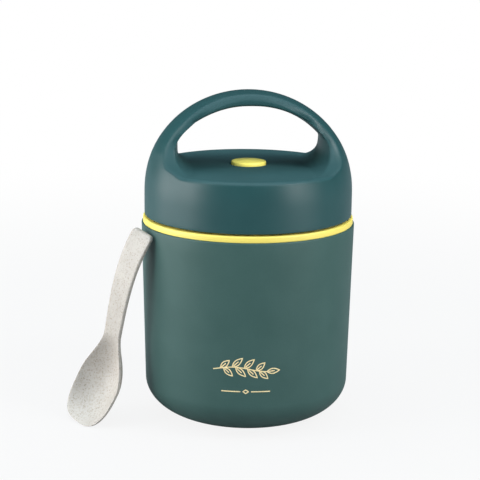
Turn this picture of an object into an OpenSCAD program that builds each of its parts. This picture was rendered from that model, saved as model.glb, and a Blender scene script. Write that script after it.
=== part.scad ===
// Insulated lunch jar with a screw-on lid, a handle moulded on the lid, a vent button and a spoon.
// Millimetres, +Z up. The origin is the middle of the base, on the surface that the jar stands on.
// The handle runs along X, so the jar's front is at -Y.

/* [Body] */
// Outer diameter at the shoulder, just under the ring
body_d = 105; // [92:1:125]
// Height of the shell's rim above the ground
body_h = 98.1; // [80:0.1:130]
// How far the side leans in from the shoulder down to the base corner
side_taper = 1.8; // [0.5:0.1:4]
// How far the base corner curves in under the body
corner_w = 25; // [14:0.5:28]
// How far the base corner reaches up the side
corner_h = 18; // [10:0.5:26]
// Wall of the outer shell
shell_wall = 2; // [1.5:0.1:3]
// How far the pad under the base reaches past the flat of the shell
pad_over = 4.3; // [0:0.1:5]
// Thickness of the pad
pad_h = 1.8; // [1.2:0.1:3]
// How far the pad stands out below the shell
foot_h = 0.8; // [0.4:0.1:1]
// Diameter of the hole that the foam is poured through
fill_d = 12; // [8:0.5:16]

/* [Collar and liner] */
// Height of the ring that shows between body and lid
ring_h = 3.0; // [2:0.1:6]
// How far the ring sits in from the shoulder
ring_setback = 0.7; // [0:0.1:1]
// Plain stretch of the neck above its thread
neck_plain = 1.1; // [0.6:0.1:6]
// Wall of the neck
neck_wall = 2.4; // [1.8:0.1:4]
// How far the collar's spigot reaches down into the shell
spigot_h = 10; // [5:0.5:20]
// Wall of the spigot
spigot_wall = 2; // [1.2:0.1:3]
// Sheet thickness of the liner
liner_wall = 0.6; // [0.4:0.1:1]
// Radius between the liner's side and its floor
liner_corner = 12; // [4:0.5:20]
// Foam under the liner
base_foam = 8; // [4:0.5:16]
// How far the liner's lip stops short of the outside of the neck
lip_inset = 0.5; // [0.2:0.1:1]
// Thickness of the ring under the liner's lip
seal_h = 0.8; // [0.6:0.1:1.5]

/* [Thread] */
// Number of ribs on each side of the thread
thread_starts = 2; // [1:1:2]
// Rise of the lid in one turn
thread_lead = 10; // [9:0.5:12]
// Depth of a rib
thread_depth = 1.6; // [1:0.1:2]
// Height of a rib where it leaves the wall
thread_root_h = 2.2; // [1.8:0.1:2.4]
// Height of a rib at its crest
thread_crest_h = 1.2; // [0.8:0.1:1.6]
// Degrees that a rib on the neck runs
neck_rib_turn = 300; // [240:5:330]
// Degrees that a rib in the lid runs
lid_rib_turn = 120; // [60:5:150]
// Degrees from the foot of a neck rib to the foot of the lid rib under it
lid_rib_start = 60; // [50:5:90]
// Degrees over which a rib runs out at each end
rib_fade = 15; // [8:1:25]

/* [Lid] */
// How far the lid's side sits in from the shoulder
lid_setback = 1.3; // [0.5:0.1:3]
// Gap between the ring and the lid's rim
lid_gap = 0.8; // [0.2:0.1:1]
// Wall of the lid cover
lid_wall = 2.3; // [1.6:0.1:3.5]
// How far below the deck the lid's side begins to curve in
dome_drop = 11.6; // [4:0.1:14]
// Height of the dome that the handle is cut from
dome_h = 48.3; // [42:0.1:60]
// How far the middle of the deck rises above its edge
deck_crown = 0.5; // [0.3:0.1:3]
// Wall of the threaded skirt
skirt_wall = 2; // [1.4:0.1:3]
// Wall of the inner cover's flange, plug and floor
inner_wall = 2; // [1.4:0.1:3]
// Thickness of the gasket on the liner's lip
gasket_h = 2.2; // [1.5:0.1:4]
// How far the plug reaches down past the lip
plug_depth = 9.6; // [6:0.1:16]
// Room between the plug and the liner
plug_gap = 1.6; // [1.2:0.1:3]
// Height and depth of the bead on the plug that holds the gasket
bead = 0.8; // [0.4:0.1:1]
// Foam over the inner cover's flange
lid_foam_h = 3.3; // [1:0.1:5]
// Ledge in the cover that the inner cover stops against
ledge_w = 1.4; // [0.8:0.1:3]

/* [Handle] */
// Front-to-back width of the handle's legs
handle_w = 30.5; // [24:0.5:36]
// Front-to-back width of the handle at its top
waist_w = 22; // [14:0.5:24]
// Height above the deck where the legs begin to narrow
waist_h = 23; // [22:0.5:30]
// Thickness of the handle at its top
handle_t = 6.6; // [4:0.1:10]
// Width of the opening under the handle
opening_w = 70; // [60:0.5:74]
// Radius of the arch over the opening
opening_arc = 46.5; // [42:0.1:60]
// Radius of the opening's upper corners
opening_corner = 4; // [2:0.5:8]
// Radius where the inside of a leg meets the deck
leg_fillet = 8; // [3:0.5:12]
// Radius where the front and back of a leg flare into the deck
leg_flare = 22; // [6:0.5:26]

/* [Vent] */
// Diameter of the button
button_d = 17.2; // [14:0.1:22]
// How far the button's rim stands above the deck
button_rise = 1.4; // [0.5:0.1:3]
// How far the button's top is domed
button_crown = 0.6; // [0.2:0.1:1.5]
// Rounding of the button's rim
button_round = 0.7; // [0.3:0.1:1]
// Height of the button's side
button_h = 4.4; // [3.6:0.1:6]
// Wall of the button
button_wall = 1.5; // [1:0.1:2]
// How far the button goes in
button_travel = 2; // [1:0.1:3]
// Diameter of the stem
stem_d = 3.2; // [2:0.1:4]
// Wall of the vent tube and of the button's socket
tube_wall = 1.4; // [1:0.1:2]
// Air gap round the stem in the vent tube
vent_gap = 1.4; // [0.8:0.1:2]
// Diameter of the valve disc
valve_d = 14; // [13:0.5:20]
// Thickness of the valve disc and of the stem's head
valve_h = 1.6; // [1:0.1:2.5]
// Diameter of the spring's wire
spring_wire = 0.6; // [0.4:0.1:0.8]
// Number of turns of the spring
spring_turns = 3; // [2:0.5:4]

/* [Spoon] */
// Length of the spoon along its chord
spoon_l = 101; // [88:1:120]
// Length of the bowl, down to the narrowest part of the handle
bowl_l = 47.5; // [36:0.5:54]
// Distance from the bowl's tip to its widest place
bowl_mid = 20.5; // [12:0.5:24]
// Width of the bowl
bowl_w = 29.5; // [20:0.5:34]
// Depth of the bowl below its rim
bowl_depth = 8.6; // [4:0.1:11]
// How blunt the bowl's tip is: 2 is an ellipse and more is squarer
bowl_blunt = 3; // [2:0.1:4]
// How far the bowl's tip is hooked forward of the handle
bowl_hook = 10; // [2:0.5:14]
// Width of the handle at its narrowest place
spoon_neck_w = 11.5; // [6:0.5:12]
// Width of the handle at its end
spoon_end_w = 14.5; // [9:0.1:16]
// Rounding of the handle's end
spoon_end_round = 2.5; // [2:0.5:4.5]
// Thickness of the bowl and the handle
spoon_t = 2; // [1.4:0.1:3]
// How far the handle arches forward of the chord
spoon_arch = 4.5; // [0:0.5:10]
// How far the spoon is turned from facing the jar's front
spoon_turn = -51; // [-70:1:-30]
// How far it leans back
spoon_back = 8.5; // [4:0.5:16]
// How far it leans to its right
spoon_side = 13; // [6:0.5:20]
// Where on the body its end leans, in degrees from +X
spoon_place = 206; // [195:1:230]

/* [Fits] */
// Clearance between pieces that are fixed together
fit = 0.2; // [0.1:0.05:0.4]
// Clearance between pieces that move past each other
run_gap = 0.3; // [0.2:0.05:0.5]
// Clearance between the crests and the walls of the thread
thread_gap = 0.4; // [0.3:0.05:0.6]
// Clearance of the stem in its hole
stem_gap = 0.1; // [0.05:0.05:0.2]

/* [Hidden] */
$fn = 96;
// Overlap that lets a cut run past a face
eps = 1;
// How deep the foot of a thread rib sits in its wall
rib_sink = 0.4;
// Degrees between the sections of a thread rib
rib_arc = 7.5;

// Radii, from the outside in
body_r = body_d / 2;
base_r = body_r - side_taper;
flat_r = base_r - corner_w;
pad_r = flat_r + pad_over;
ring_r = body_r - ring_setback;
lid_r = body_r - lid_setback;
lid_in_r = lid_r - lid_wall;
ledge_r = lid_in_r - ledge_w;
skirt_r = lid_in_r - fit;
skirt_in_r = skirt_r - skirt_wall;
neck_r = skirt_in_r - thread_gap - thread_depth;
neck_in_r = neck_r - neck_wall;
liner_r = neck_in_r - fit;
liner_in_r = liner_r - liner_wall;
plug_r = liner_in_r - plug_gap;
plug_in_r = plug_r - inner_wall;

// Heights, from the ground up
shell_floor = pad_h + shell_wall;
corner_z = foot_h + corner_h;
liner_z = shell_floor + base_foam;
ring_top = body_h + ring_h;
lid_rim = ring_top + lid_gap;
skirt_z = lid_rim + run_gap;
rib_step = (thread_root_h + thread_crest_h) / 2 + run_gap;
lid_rib_z = skirt_z + thread_root_h / 2;
neck_rib_z = lid_rib_z + rib_step - thread_lead * lid_rib_start / 360;
neck_top = neck_rib_z + thread_lead * neck_rib_turn / 360 + thread_root_h / 2 + neck_plain;
lip_top = neck_top + seal_h + liner_wall;
gasket_z = lip_top + run_gap;
flange_z = gasket_z + gasket_h + run_gap;
flange_top = flange_z + inner_wall;
deck_under = flange_top + lid_foam_h;
deck_z = deck_under + lid_wall;
deck_top = deck_z + deck_crown;
dome_z = deck_z - dome_drop;
dome_top = dome_z + dome_h;
plug_z = lip_top - plug_depth;
plug_floor = plug_z + inner_wall;

// Vent
button_r = button_d / 2;
stem_r = stem_d / 2;
well_r = button_r + run_gap;
boss_r = well_r + lid_wall;
socket_r = stem_r + tube_wall;
tube_in_r = stem_r + vent_gap;
tube_r = tube_in_r + tube_wall;
button_rim = deck_top + button_rise;
button_z = button_rim - button_h;
button_under = button_rim - button_wall;
well_z = button_z - button_travel - run_gap;
boss_z = well_z - inner_wall;
spring_r = (socket_r + button_r - button_wall) / 2;
valve_top = plug_z - run_gap;
valve_z = valve_top - valve_h;
head_z = valve_z - valve_h;

// Handle
deck_r = lid_r * sqrt(1 - pow(dome_drop / dome_h, 2));
opening_half = opening_w / 2;
arch_z = dome_top - handle_t - opening_arc;

// Colours
shell_green = [0.25, 0.37, 0.36];
lid_green = [0.21, 0.36, 0.39];
yellow = [0.95, 0.87, 0.38];
cream = [0.87, 0.84, 0.76];
steel = [0.75, 0.76, 0.77];
foam = [0.93, 0.88, 0.72];
white = [0.92, 0.92, 0.90];
silicone = [0.85, 0.86, 0.84];
rubber = [0.10, 0.10, 0.10];

// Points of an arc about c, from angle a0 to a1
function arc(c, r, a0, a1, steps = 12) =
    [for (i = [0 : steps]) let (a = a0 + (a1 - a0) * i / steps) c + r * [cos(a), sin(a)]];

// An outline's right half joined to its mirror image
function with_mirror(right) =
    concat(right, [for (i = [len(right) - 1 : -1 : 0]) [-right[i].x, right[i].y]]);

function mix(a, b, t) = a + (b - a) * t;
function ease(t) = t * t * (3 - 2 * t);
function heights(points) = [for (p = points) p.z];

// Radius of the body's side at height z
function side_r(z) = body_r - side_taper * (body_h - z) / (body_h - corner_z);

// The body's outline from the base up to the rim, moved in by inset and kept above floor_z
function corner_point(t, inset) =
    let (out = [cos(t) / corner_w, -sin(t) / corner_h])
    [flat_r + corner_w * cos(t), corner_z - corner_h * sin(t)] - inset * out / norm(out);
function body_outline(inset, floor_z) =
    concat([[0, floor_z]],
           [for (t = [90 : -5 : 0]) let (p = corner_point(t, inset)) [p.x, max(p.y, floor_z)]],
           [[body_r - inset, body_h], [0, body_h]]);

spigot_r = side_r(body_h - spigot_h) - shell_wall - fit;

// A ring with a square section
module ring(r_in, r_out, z0, z1) {
    translate([0, 0, z0]) difference() {
        cylinder(r = r_out, h = z1 - z0);
        translate([0, 0, -eps]) cylinder(r = r_in, h = z1 - z0 + 2 * eps);
    }
}

module disc(r, z0, z1) {
    translate([0, 0, z0]) cylinder(r = r, h = z1 - z0);
}

// A round-cornered cup, solid
module cup(r, z0, corner, top) {
    rotate_extrude() polygon(concat(
        [[0, z0]],
        arc([r - corner, z0 + corner], corner, -90, 0),
        [[r, top], [0, top]]));
}

// Triangles over a skin of rings, each with the same number of points, closed at both ends
function skin_faces(count, sides) =
    let (last = (count - 1) * sides)
    concat(
        [for (i = [0 : count - 2], j = [0 : sides - 1])
            let (a = i * sides + j, b = i * sides + (j + 1) % sides)
            each [[a, a + sides, b + sides], [a, b + sides, b]]],
        [for (j = [1 : sides - 2]) [0, j, j + 1]],
        [for (j = [1 : sides - 2]) [last, last + j + 1, last + j]]);

// One rib of the thread: a trapezoid swept up a right-hand helix, which runs out at both ends.
// Its crest stands crest away from the wall: outward, or inward where that is negative.
module thread_rib(wall_r, crest, z0, from, turn) {
    steps = ceil(turn / rib_arc);
    foot = crest < 0 ? rib_sink : -rib_sink;
    low = [[foot, -thread_root_h / 2], [crest, -thread_crest_h / 2]];
    high = [[crest, thread_crest_h / 2], [foot, thread_root_h / 2]];
    section = crest < 0 ? concat(low, high) : [high[1], high[0], low[1], low[0]];
    points = [for (i = [0 : steps])
        let (a = turn * i / steps, full = min(1, a / rib_fade, (turn - a) / rib_fade))
        for (p = section)
            let (r = wall_r + (p.x == crest ? crest * full : p.x))
            [r * cos(from + a), r * sin(from + a), z0 + thread_lead * a / 360 + p.y]];
    polyhedron(points, skin_faces(steps + 1, len(section)));
}

module thread_ribs(wall_r, crest, z0, from, turn) {
    for (k = [0 : thread_starts - 1])
        thread_rib(wall_r, crest, z0, from + k * 360 / thread_starts, turn);
}

module outer_shell() {
    color(shell_green) difference() {
        rotate_extrude() polygon(body_outline(0, foot_h));
        rotate_extrude() polygon(body_outline(shell_wall, shell_floor));
        disc(body_r - shell_wall, body_h - eps, body_h + eps);
        disc(pad_r + fit, foot_h - eps, pad_h);
        disc(fill_d / 2, 0, shell_floor + eps);
    }
}

module base_pad() {
    color(rubber) disc(pad_r, 0, pad_h);
}

module fill_plug() {
    color(white) disc(fill_d / 2 - fit, pad_h, shell_floor);
}

module body_foam() {
    color(foam) difference() {
        rotate_extrude() polygon(body_outline(shell_wall + fit, shell_floor));
        cup(liner_r + fit, liner_z, liner_corner + fit, body_h + eps);
        ring(spigot_r - spigot_wall - fit, body_r, body_h - spigot_h - fit, body_h + eps);
    }
}

module inner_liner() {
    color(steel) {
        difference() {
            cup(liner_r, liner_z, liner_corner, lip_top);
            cup(liner_in_r, liner_z + liner_wall, liner_corner - liner_wall, lip_top + eps);
        }
        ring(liner_in_r, neck_r - lip_inset, lip_top - liner_wall, lip_top);
    }
}

module liner_seal() {
    color(silicone) ring(liner_r + fit, neck_r - lip_inset, neck_top, neck_top + seal_h);
}

module neck_collar() {
    color(yellow) {
        ring(neck_in_r, neck_r, body_h, neck_top);
        ring(neck_in_r, ring_r, body_h, ring_top);
        ring(spigot_r - spigot_wall, spigot_r, body_h - spigot_h, ring_top - eps);
        thread_ribs(neck_r, thread_depth, neck_rib_z, 0, neck_rib_turn);
    }
}

module lid_gasket() {
    color(silicone) ring(plug_r + run_gap, neck_r, gasket_z, gasket_z + gasket_h);
}

// Solid of the dome, from the rim to the top of the handle
module dome() {
    rotate_extrude() polygon(concat(
        [[0, lid_rim], [lid_r, lid_rim]],
        [for (t = [0 : 5 : 90]) [lid_r * cos(t), dome_z + dome_h * sin(t)]]));
}

// Outline of the opening under the handle, seen from the front
module opening_outline() {
    corner_x = opening_half - opening_corner;
    corner_rise = sqrt(pow(opening_arc - opening_corner, 2) - pow(corner_x, 2));
    corner_a = atan2(corner_rise, corner_x);
    right = concat(
        arc([opening_half - leg_fillet, deck_z + leg_fillet], leg_fillet, -90, 0),
        arc([corner_x, arch_z + corner_rise], opening_corner, 0, corner_a),
        arc([0, arch_z], opening_arc, corner_a, 90));
    polygon(with_mirror(right));
}

// Outline of the handle seen from the side: a strap that flares at its feet and narrows to its top
module strap_outline() {
    half = handle_w / 2;
    waist_z = deck_z + max(waist_h, leg_flare);
    right = concat(
        [[half + leg_flare, deck_under]],
        arc([half + leg_flare, deck_z + leg_flare], leg_flare, -90, -180),
        [for (t = [0 : 0.125 : 1]) [mix(half, waist_w / 2, ease(t)), mix(waist_z, dome_top, t)]],
        [[waist_w / 2, dome_top + eps]]);
    polygon(with_mirror(right));
}

module handle() {
    intersection() {
        dome();
        rotate([90, 0, 90]) linear_extrude(2 * lid_r, center = true) strap_outline();
        rotate([90, 0, 0]) linear_extrude(2 * lid_r, center = true) difference() {
            translate([-lid_r, deck_under]) square([2 * lid_r, dome_top - deck_under]);
            opening_outline();
        }
    }
}

// The deck under the handle, a little domed
module deck() {
    intersection() {
        dome();
        rotate_extrude() polygon(concat(
            [[0, lid_rim], [lid_r, lid_rim], [lid_r, deck_z]],
            [for (t = [1 : -0.1 : 0]) [deck_r * t, deck_z + deck_crown * (1 - t * t)]]));
    }
}

module lid_cover() {
    color(lid_green) {
        difference() {
            union() {
                deck();
                handle();
            }
            disc(lid_in_r, lid_rim - eps, flange_top + fit);
            disc(ledge_r, lid_rim, deck_under);
            disc(well_r, well_z, button_rim);
        }
        difference() {
            disc(boss_r, boss_z, deck_z);
            disc(well_r, well_z, deck_top);
            disc(stem_r + stem_gap, boss_z - eps, well_z + eps);
        }
    }
}

module lid_inner_cover() {
    color(white) {
        ring(skirt_in_r, skirt_r, skirt_z, flange_top);
        ring(plug_in_r, skirt_r, flange_z, flange_top);
        ring(plug_in_r, plug_r, plug_z, flange_top);
        ring(tube_in_r, plug_r, plug_z, plug_floor);
        ring(tube_in_r, tube_r, plug_z, boss_z - fit);
        ring(plug_in_r, plug_r + bead, gasket_z - run_gap - bead, gasket_z - run_gap);
        thread_ribs(skirt_in_r, -thread_depth, lid_rib_z, lid_rib_start, lid_rib_turn);
    }
}

module lid_foam() {
    color(foam) difference() {
        union() {
            disc(plug_in_r - fit, plug_floor + fit, deck_under - fit);
            disc(ledge_r - fit, flange_top + fit, deck_under - fit);
        }
        disc(tube_r + fit, plug_floor, deck_under);
        disc(boss_r + fit, boss_z - fit, deck_under);
    }
}

module vent_button() {
    rim = [button_r - button_round, button_rim - button_round];
    top_r = (pow(rim.x, 2) + pow(button_crown, 2)) / (2 * button_crown);
    color(yellow) difference() {
        rotate_extrude() polygon(concat(
            [[0, button_z], [button_r, button_z]],
            arc(rim, button_round, 0, 90, 6),
            [for (t = [0.75 : -0.25 : 0]) let (x = rim.x * t)
                [x, button_rim + button_crown - top_r + sqrt(pow(top_r, 2) - pow(x, 2))]]));
        ring(socket_r, button_r - button_wall, button_z - eps, button_under);
        disc(stem_r + stem_gap, button_z - eps, button_under);
    }
}

module vent_stem() {
    color(white) {
        disc(stem_r, head_z, button_under - fit);
        disc(socket_r, head_z, valve_z);
    }
}

module vent_valve() {
    color(silicone) ring(stem_r + stem_gap, valve_d / 2, valve_z, valve_top);
}

// Middle of the spring's wire at step i
spring_z0 = well_z + fit + spring_wire / 2;
spring_z1 = button_under - fit - spring_wire / 2;
curl_steps = 12;
function spring_point(i) =
    let (t = i / (spring_turns * curl_steps), a = 360 * i / curl_steps)
    [spring_r * cos(a), spring_r * sin(a), mix(spring_z0, spring_z1, t)];

module vent_spring() {
    sides = 6;
    count = spring_turns * curl_steps + 1;
    points = [for (i = [0 : count - 1], j = [0 : sides - 1])
        let (a = 360 * i / curl_steps, b = 360 * j / sides, out = spring_wire / 2 * cos(b))
        spring_point(i) + [out * cos(a), out * sin(a), -spring_wire / 2 * sin(b)]];
    self_gap = min([for (i = [0 : count - 1], k = [i + curl_steps / 2 : count - 1])
        norm(spring_point(i) - spring_point(k))]) - spring_wire;
    echo(spring_least_gap = self_gap);
    color(steel) polyhedron(points, skin_faces(count, sides));
}

// The spoon lies along +Z with its bowl at the bottom and the hollow side at -Y, before it is leaned over
function spoon_half(s) =
    s < bowl_mid ? bowl_w / 2 * pow(1 - pow(1 - s / bowl_mid, bowl_blunt), 1 / bowl_blunt) :
    s < bowl_l ? mix(bowl_w, spoon_neck_w, ease((s - bowl_mid) / (bowl_l - bowl_mid))) / 2 :
    mix(spoon_neck_w, spoon_end_w, (s - bowl_l) / (spoon_l - bowl_l)) / 2 - spoon_end_cut(s);
function spoon_end_cut(s) =
    let (past = max(0, s - spoon_l + spoon_end_round))
    spoon_end_round - sqrt(pow(spoon_end_round, 2) - pow(past, 2));
function spoon_dish(s) = s < bowl_l ? bowl_depth * sin(180 * pow(s / bowl_l, 0.8)) : 0;
// How far forward the spoon stands of its chord; t * t * (1 - t) is at most 4 / 27
function spoon_rise(s) =
    let (t = max(0, (s - bowl_mid) / (spoon_l - bowl_mid)), to_tip = max(0, 1 - s / bowl_l))
    spoon_arch * t * t * (1 - t) * 27 / 4 + bowl_hook * to_tip * to_tip;

// A closed section of the spoon at s, hollow face first
function spoon_section(s, half) =
    let (across = [for (k = [-1 : 0.25 : 1]) k],
         face = [for (k = across) [k * half, spoon_dish(s) * (1 - k * k) - spoon_rise(s), s]],
         last = len(face) - 1)
    concat(face, [for (i = [last : -1 : 0]) face[i] + [0, spoon_t, 0]]);

// Leaning and turning a point of the spoon
function lean(p) =
    let (x = p.x * cos(spoon_side) + p.z * sin(spoon_side),
         z = p.z * cos(spoon_side) - p.x * sin(spoon_side),
         y = p.y * cos(spoon_back) + z * sin(spoon_back))
    [x * cos(spoon_turn) - y * sin(spoon_turn),
     x * sin(spoon_turn) + y * cos(spoon_turn),
     z * cos(spoon_back) - p.y * sin(spoon_back)];

module spoon() {
    stations = 36;
    nose = 1;
    points = [for (i = [0 : stations])
        let (s = spoon_l * (1 - cos(180 * i / stations)) / 2)
        each spoon_section(s, max(nose, spoon_half(s)))];
    leaned = [for (p = points) lean(p)];
    round_off = spoon_end_round * (1 - sin(45));
    touch = lean([spoon_end_w / 2 - round_off, spoon_t, spoon_l - round_off]);
    seat = (body_r + run_gap) * [cos(spoon_place), sin(spoon_place)];
    color(cream)
        translate([seat.x - touch.x, seat.y - touch.y, -min(heights(leaned))])
            polyhedron(leaned, skin_faces(stations + 1, len(points) / (stations + 1)));
}

outer_shell();
base_pad();
fill_plug();
body_foam();
inner_liner();
liner_seal();
neck_collar();
lid_gasket();
lid_cover();
lid_inner_cover();
lid_foam();
vent_button();
vent_stem();
vent_valve();
vent_spring();
spoon();
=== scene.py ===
"""Insulated lunch jar with a screw-on handle lid, a vent button and a spoon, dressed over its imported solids."""

import math

import bpy
from mathutils import Matrix, Vector


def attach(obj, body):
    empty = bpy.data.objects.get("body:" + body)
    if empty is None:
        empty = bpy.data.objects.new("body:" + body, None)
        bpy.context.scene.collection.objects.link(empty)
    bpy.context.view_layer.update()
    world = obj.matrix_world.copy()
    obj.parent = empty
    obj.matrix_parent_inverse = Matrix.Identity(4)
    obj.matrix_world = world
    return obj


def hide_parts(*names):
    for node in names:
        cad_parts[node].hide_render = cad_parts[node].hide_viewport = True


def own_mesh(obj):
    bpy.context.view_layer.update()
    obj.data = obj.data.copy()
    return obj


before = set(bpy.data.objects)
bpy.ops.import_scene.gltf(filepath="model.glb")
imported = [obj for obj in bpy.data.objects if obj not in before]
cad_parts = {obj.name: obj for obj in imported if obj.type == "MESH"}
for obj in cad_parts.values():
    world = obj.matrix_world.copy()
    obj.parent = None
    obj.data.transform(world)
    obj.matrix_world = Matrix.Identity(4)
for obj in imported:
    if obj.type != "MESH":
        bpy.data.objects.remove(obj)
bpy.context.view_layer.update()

# Outer shell
# The body that shows: blow-moulded plastic with a rounded base corner and sides that lean in a little
# towards the base. It has a satin soft-touch paint, and a recess underneath for the pad.
mm, merge_gap = 0.001, 1e-7
body_r, body_h = 52.5, 98.1
base_r, corner_w, corner_h = 50.7, 25.0, 18.0
flat_r, corner_z = 25.7, 18.8
shell_wall, shell_floor = 2.0, 3.8
pad_r, pad_h, pad_room = 30.0, 1.8, 0.2
fill_r = 6.0
corner_steps, side_steps = 28, 12
inside_turn = math.radians(85)


def mix(a, b, t):
    return a + (b - a) * t


def softened(corners, steps=4):
    """The outline through corners of (radius, height, setback), each corner drawn as a small arc."""
    points = []
    count = len(corners)
    for i, (r, z, setback) in enumerate(corners):
        corner = Vector((r, z))
        if not setback:
            points.append(corner)
            continue
        before = Vector(corners[i - 1][:2])
        after = Vector(corners[(i + 1) % count][:2])
        start = corner + (before - corner).normalized() * setback
        end = corner + (after - corner).normalized() * setback
        for k in range(steps + 1):
            t = k / steps
            points.append(start.lerp(corner, t).lerp(corner.lerp(end, t), t))
    return points


def new_piece(name):
    piece = bpy.context.object
    piece.name = piece.data.name = name
    return piece


def smooth(piece, angle=35):
    bpy.ops.object.select_all(action="DESELECT")
    piece.select_set(True)
    bpy.context.view_layer.objects.active = piece
    bpy.ops.object.shade_smooth_by_angle(angle=math.radians(angle))


def close_up():
    """Merges the seam and the poles of the mesh in edit mode, and turns every face outwards."""
    bpy.ops.mesh.select_all(action="SELECT")
    bpy.ops.mesh.remove_doubles(threshold=merge_gap)
    bpy.ops.mesh.normals_make_consistent(inside=False)
    bpy.ops.object.mode_set(mode="OBJECT")


def drawn(name, path):
    """One point, moved along a path of (radius, height) in the plane of the jar's right-hand side."""
    bpy.ops.object.select_all(action="DESELECT")
    bpy.ops.mesh.primitive_plane_add(size=mm)
    piece = new_piece(name)
    bpy.ops.object.mode_set(mode="EDIT")
    bpy.ops.mesh.select_all(action="SELECT")
    bpy.ops.mesh.merge(type="CENTER")
    bpy.ops.transform.translate(value=(path[0][0] * mm, 0, path[0][1] * mm))
    for a, b in zip(path, path[1:]):
        step = ((b[0] - a[0]) * mm, 0, (b[1] - a[1]) * mm)
        bpy.ops.mesh.extrude_region_move(TRANSFORM_OT_translate={"value": step})
    bpy.ops.mesh.select_all(action="SELECT")
    return piece


def turned(name, outline, steps=128, hollow=True):
    """A turned piece: half of its section is drawn and spun about the jar's axis, where solid ones start."""
    piece = drawn(name, list(outline) + ([outline[0]] if hollow else []))
    bpy.ops.mesh.spin(steps=steps, angle=2 * math.pi, center=(0, 0, 0), axis=(0, 0, 1))
    close_up()
    smooth(piece)
    return piece


def apply(piece, kind, **settings):
    """Adds a modifier to a piece and applies it."""
    bpy.context.view_layer.objects.active = piece
    modifier = piece.modifiers.new(kind.title(), kind)
    for name, value in settings.items():
        setattr(modifier, name, value)
    bpy.ops.object.modifier_apply(modifier=modifier.name)


class Tone:
    """A value in a finish. Sums and products of tones become its Math nodes."""

    def __init__(self, tree, socket):
        self.tree, self.socket = tree, socket

    def node(self, kind, sockets, out=0, **settings):
        """Any other node: its settings first, then the values or links of its sockets."""
        made = self.tree.nodes.new("ShaderNode" + kind)
        for name, value in settings.items():
            setattr(made, name, value)
        for name, value in sockets.items():
            if isinstance(value, Tone):
                self.tree.links.new(value.socket, made.inputs[name])
            else:
                made.inputs[name].default_value = value
        return Tone(self.tree, made.outputs[out])

    def maths(self, operation, *values):
        return self.node("Math", dict(enumerate(values)), operation=operation)

    def __add__(self, other):
        return self.maths("ADD", self, other)

    def __sub__(self, other):
        return self.maths("SUBTRACT", self, other)

    def __rsub__(self, other):
        return self.maths("SUBTRACT", other, self)

    def __mul__(self, other):
        return self.maths("MULTIPLY", self, other)

    __radd__ = __add__
    __rmul__ = __mul__

    def noise(self, size, detail=2.0):
        """Soft clouds whose lumps are about size millimetres across."""
        return self.node("TexNoise", {"Vector": self, "Scale": 1 / (size * mm), "Detail": detail})

    def between(self, low, high):
        """0 at low and 1 at high, with soft ends."""
        return self.node("MapRange", {"Value": self, "From Min": low, "From Max": high},
                         interpolation_type="SMOOTHSTEP")

    def blend(self, a, b):
        """From colour a to colour b as this value goes from 0 to 1."""
        return self.node("Mix", {0: self, 6: a, 7: b}, out=2, data_type="RGBA")

    def from_axis(self):
        """How far a place lies from the jar's axis."""
        flat = self.node("VectorMath", {0: self, 1: (1, 1, 0)}, operation="MULTIPLY")
        return flat.node("VectorMath", {0: flat}, out="Value", operation="LENGTH")

    def height(self):
        return self.node("SeparateXYZ", {"Vector": self}, out="Z")

    def bump(self, depth, strength=1.0):
        """A surface that rises by depth millimetres where this value is 1."""
        return self.node("Bump", {"Height": self, "Distance": depth * mm, "Strength": strength})


def finish(name):
    """A new material, and the place on the piece from which its detail is drawn."""
    material = bpy.data.materials.new(name)
    material.use_nodes = True
    tree = material.node_tree
    return material, Tone(tree, tree.nodes.new("ShaderNodeTexCoord").outputs["Object"])


def lay(material, sockets):
    """Sets or links the sockets of the material's surface shader."""
    tree = material.node_tree
    shader = tree.nodes["Principled BSDF"]
    for name, value in sockets.items():
        if isinstance(value, Tone):
            tree.links.new(value.socket, shader.inputs[name])
        else:
            shader.inputs[name].default_value = value


def dress(piece, material, body, slot, *nodes):
    """Gives a piece its finish and its body, and hides the solids that it stands for. The slot is not used."""
    piece.data.materials.clear()
    piece.data.materials.append(material)
    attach(piece, body)
    if nodes:
        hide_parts(*nodes)


def corner_point(t, inset):
    """A point on the base corner at angle t, moved in by inset."""
    out = Vector((math.cos(t) / corner_w, -math.sin(t) / corner_h)).normalized()
    return Vector((flat_r + corner_w * math.cos(t), corner_z - corner_h * math.sin(t))) - out * inset


recess_r = pad_r + pad_room
corner_start = math.acos((recess_r - flat_r) / corner_w)
outside = [corner_point(corner_start * (1 - k / corner_steps), 0) for k in range(corner_steps + 1)]
inside = [corner_point(inside_turn * k / corner_steps, shell_wall) for k in range(corner_steps + 1)]
inside = [p for p in inside if p.y > shell_floor]
rim = softened([(inside[0].x, inside[0].y, 0), (outside[-1].x, outside[-1].y, 0), (body_r, body_h, 0.7),
                (body_r - shell_wall, body_h, 0.4)])[2:]
side = [outside[-1].lerp(rim[0], k / side_steps) for k in range(1, side_steps)]
shell = turned("body_shell", outside + side + rim + inside + [
    Vector((fill_r, shell_floor)), Vector((fill_r, pad_h)), Vector((recess_r, pad_h))], steps=160)

shell_green = (0.0312, 0.0715, 0.0645, 1)
shell_green_light = (0.0376, 0.0812, 0.0735, 1)
paint, at = finish("shell_paint")
grain = at.noise(0.45, 3)
cloud = at.noise(14, 3)
tone = (0.55 * cloud + 0.45 * grain).between(0.32, 0.68)
lay(paint, {
    "Base Color": tone.blend(shell_green, shell_green_light),
    "Roughness": 0.44 + 0.10 * grain,
    "Normal": grain.bump(0.05, 0.35),
    "Specular IOR Level": 0.2,
})
dress(shell, paint, "jar", "shell_green", "outer_shell")

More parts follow.
